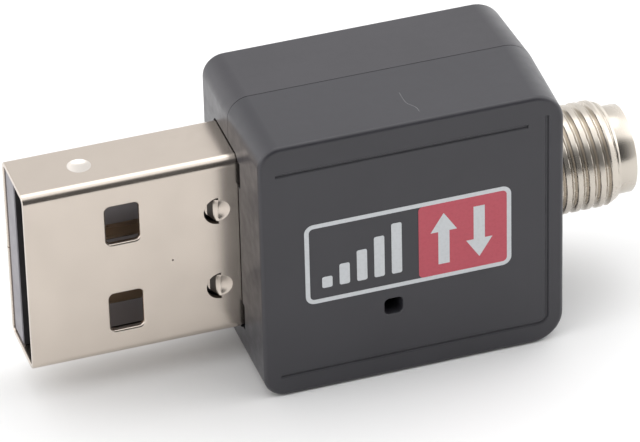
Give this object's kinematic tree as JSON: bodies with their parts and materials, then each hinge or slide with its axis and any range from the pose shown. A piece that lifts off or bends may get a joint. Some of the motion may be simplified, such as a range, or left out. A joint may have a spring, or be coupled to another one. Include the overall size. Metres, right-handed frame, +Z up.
{
  "type": "usb wifi adapter",
  "caption": "Square snap-together plastic case with a USB-A plug at one end and a threaded coaxial antenna jack at the other, around a small radio circuit board.",
  "frame": {"origin": "on the flat underside the adapter stands on, halfway along the case and straight below the plug's axis", "axes": "+X from the USB plug towards the antenna jack; +Y from the printed front face towards the plain back; +Z up, across the plug's width"},
  "size_m": [0.037, 0.0108, 0.0171],
  "materials": {
    "case_plastic": "fine satin moulded, charcoal",
    "plug_nickel": "bright nickel over folded steel sheet",
    "insulator_plastic": "moulded, black",
    "contact_gold": "gold flash",
    "jack_nickel": "bright nickel over turned brass",
    "jack_ptfe": "white, waxy",
    "board_laminate": "glass laminate with green solder mask",
    "chip_epoxy": "moulded epoxy",
    "crystal_can": "seam-welded lid",
    "ferrite": "matt",
    "led_lens": "clear epoxy over a white base",
    "ceramic_white": "matt",
    "ceramic_tan": "matt, with tinned ends",
    "resistor_black": "glazed top, with tinned ends"
  },
  "bodies": {
    "root": {"front_shell": "case_plastic", "rear_shell": "case_plastic", "usb_shell": "plug_nickel", "usb_insulator": "insulator_plastic", "vbus_contact": "contact_gold", "data_minus_contact": "contact_gold", "data_plus_contact": "contact_gold", "ground_contact": "contact_gold", "jack_body": "jack_nickel", "jack_dielectric": "jack_ptfe", "jack_centre_pin": "contact_gold", "circuit_board": "board_laminate", "wifi_chip": "chip_epoxy", "crystal": "crystal_can", "power_inductor": "ferrite", "status_led": "led_lens", "rf_filter": "ceramic_white", "capacitor_1": "ceramic_tan", "capacitor_2": "ceramic_tan", "capacitor_3": "ceramic_tan", "capacitor_4": "ceramic_tan", "capacitor_5": "ceramic_tan", "capacitor_6": "ceramic_tan", "capacitor_7": "ceramic_tan", "capacitor_8": "ceramic_tan", "resistor_1": "resistor_black", "resistor_2": "resistor_black", "resistor_3": "resistor_black"}
  },
  "joints": []
}
